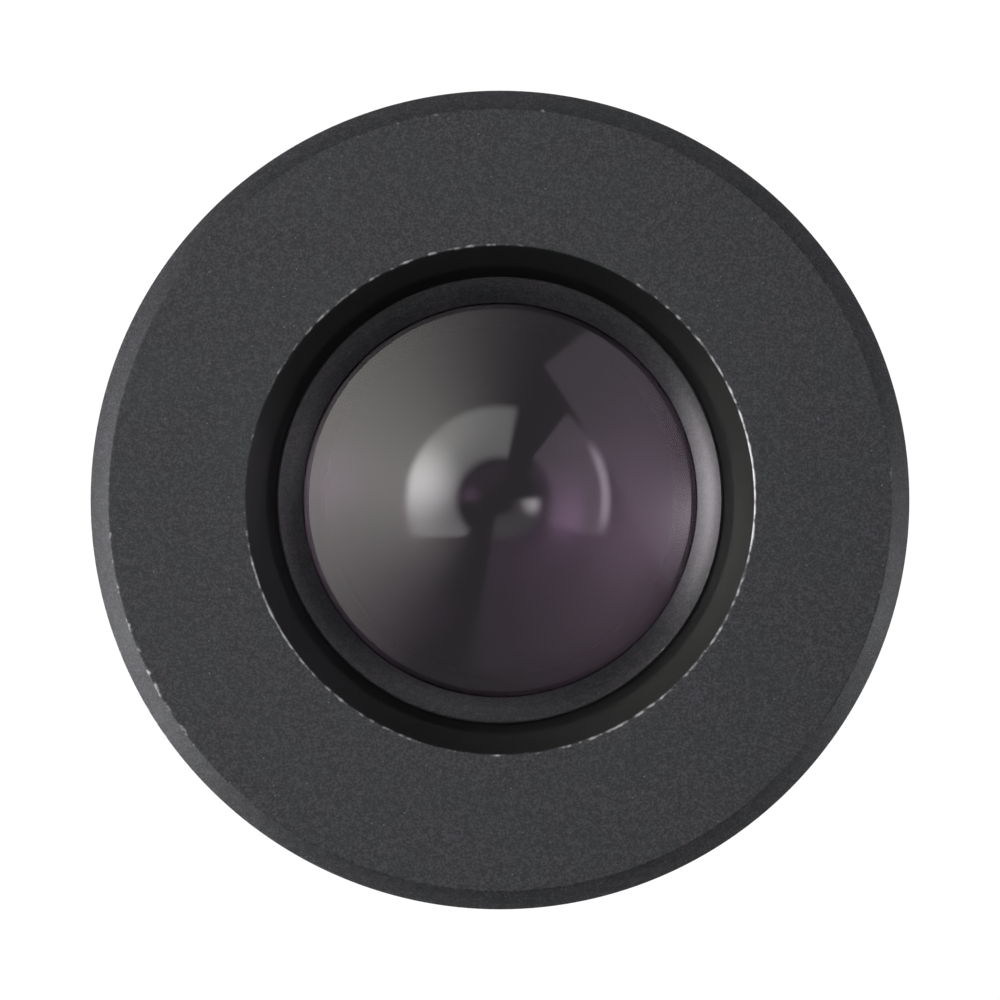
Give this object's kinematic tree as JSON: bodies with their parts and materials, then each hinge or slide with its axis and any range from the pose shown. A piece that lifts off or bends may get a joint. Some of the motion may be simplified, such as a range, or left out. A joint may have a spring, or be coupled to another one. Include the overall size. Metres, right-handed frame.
{
  "type": "microscope eyepiece",
  "caption": "Black wide-field microscope eyepiece with a tapered head, a coated eye lens in a conical well and a round push-in barrel.",
  "frame": {"origin": "on the optical axis, in the plane of the seating shoulder under the head", "axes": "+Z along the optical axis towards the eye; +X through one of the set screws"},
  "size_m": [0.034, 0.034, 0.054],
  "materials": {
    "cap_anodised": "fine bead-blasted matt black anodised aluminium, edges lightly worn bright",
    "head_anodised": "fine bead-blasted matt black anodised aluminium",
    "cell_anodised": "turned and black anodised aluminium, satin bevels",
    "barrel_anodised": "finely turned black anodised aluminium, satin",
    "inner_black": "turned, dull black anodised aluminium",
    "stop_black": "turned brass, chemically blackened",
    "shim_brass": "rolled brass shim",
    "seal_rubber": "black rubber, dull",
    "washer_plastic": "black plastic film, dull",
    "crown_glass": "polished crown glass, purple single-layer coating on the outer face",
    "flint_glass": "polished flint glass, coated on the outer face",
    "screw_steel": "black oxide steel, lightly oiled"
  },
  "bodies": {
    "root": {"eye_cap": "cap_anodised", "cap_seal": "seal_rubber", "head_body": "head_anodised", "parfocal_shim": "shim_brass", "lens_cell": "cell_anodised", "eye_lens_crown": "crown_glass", "eye_lens_flint": "flint_glass", "eye_lens_spacer": "inner_black", "middle_lens": "crown_glass", "middle_lens_spacer": "inner_black", "field_lens_crown": "crown_glass", "field_lens_flint": "flint_glass", "field_lens_washer": "washer_plastic", "lens_lock_ring": "inner_black", "mounting_barrel": "barrel_anodised", "field_stop": "stop_black", "stop_lock_ring": "inner_black", "set_screws": "screw_steel"}
  },
  "joints": []
}
